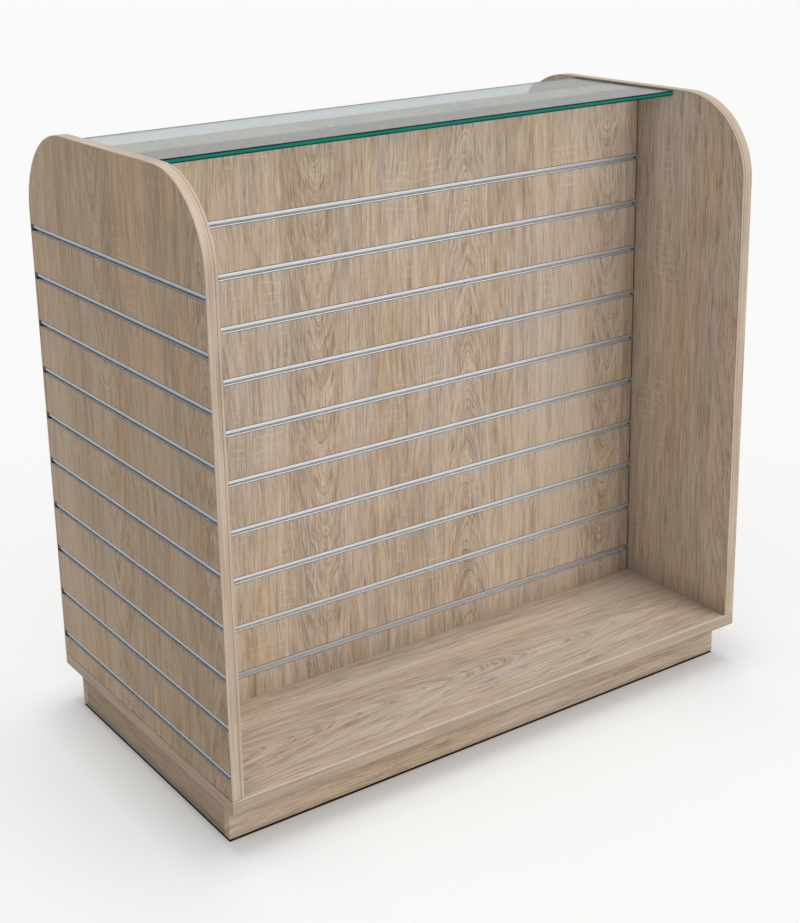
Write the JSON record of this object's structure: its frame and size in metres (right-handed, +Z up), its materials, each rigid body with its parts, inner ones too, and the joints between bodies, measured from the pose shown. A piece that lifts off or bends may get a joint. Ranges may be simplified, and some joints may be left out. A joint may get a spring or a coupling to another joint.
{
  "type": "display stand",
  "caption": "Double-sided slat-walled display stand: rounded end panels, aluminium-lined slots, plinth base and a loose glass top.",
  "frame": {"origin": "on the floor, under the middle of the stand", "axes": "+X along the length, -Y to the front, +Z up"},
  "size_m": [1.24, 0.7, 1.215],
  "materials": {
    "oak_laminate": "satin oak-look laminate",
    "oak_edge": "satin light edge band",
    "aluminium": "satin anodised",
    "glass": "clear, green-edged",
    "clear_pad": "clear soft pad",
    "black_plastic": "matt black",
    "plain_timber": "raw softwood",
    "screw_steel": "zinc plated"
  },
  "bodies": {
    "stand": {"back_insert_01": "aluminium", "back_insert_02": "aluminium", "back_insert_03": "aluminium", "back_insert_04": "aluminium", "back_insert_05": "aluminium", "back_insert_06": "aluminium", "back_insert_07": "aluminium", "back_insert_08": "aluminium", "back_insert_09": "aluminium", "back_insert_10": "aluminium", "back_slatwall": "oak_laminate", "base_back_band": "oak_edge", "base_board": "oak_laminate", "base_front_band": "oak_edge", "base_left_band": "oak_edge", "base_right_band": "oak_edge", "cap_dowels": "plain_timber", "core_cap": "oak_laminate", "core_rail_left": "plain_timber", "core_rail_right": "plain_timber", "core_screws": "screw_steel", "corner_blocks": "plain_timber", "end_plugs": "black_plastic", "feet": "black_plastic", "front_insert_01": "aluminium", "front_insert_02": "aluminium", "front_insert_03": "aluminium", "front_insert_04": "aluminium", "front_insert_05": "aluminium", "front_insert_06": "aluminium", "front_insert_07": "aluminium", "front_insert_08": "aluminium", "front_insert_09": "aluminium", "front_insert_10": "aluminium", "front_slatwall": "oak_laminate", "glass_pads": "clear_pad", "left_edge_band": "oak_edge", "left_inserts": "aluminium", "left_lining": "oak_laminate", "left_lining_band": "oak_edge", "left_panel": "oak_laminate", "panel_dowels": "plain_timber", "panel_screws": "screw_steel", "plinth_back": "oak_laminate", "plinth_front": "oak_laminate", "plinth_left": "oak_laminate", "plinth_rail_left": "plain_timber", "plinth_rail_right": "plain_timber", "plinth_right": "oak_laminate", "plinth_screws": "screw_steel", "right_edge_band": "oak_edge", "right_inserts": "aluminium", "right_lining": "oak_laminate", "right_lining_band": "oak_edge", "right_panel": "oak_laminate", "slatwall_screws": "screw_steel", "stud_left": "plain_timber", "stud_middle": "plain_timber", "stud_right": "plain_timber"},
    "glass": {"glass_top": "glass"}
  },
  "joints": [
    {"name": "glass_lift", "type": "slide", "parent": "stand", "child": "glass", "axis": [0, 0, 1], "range_m": [0, 0.3]}
  ]
}
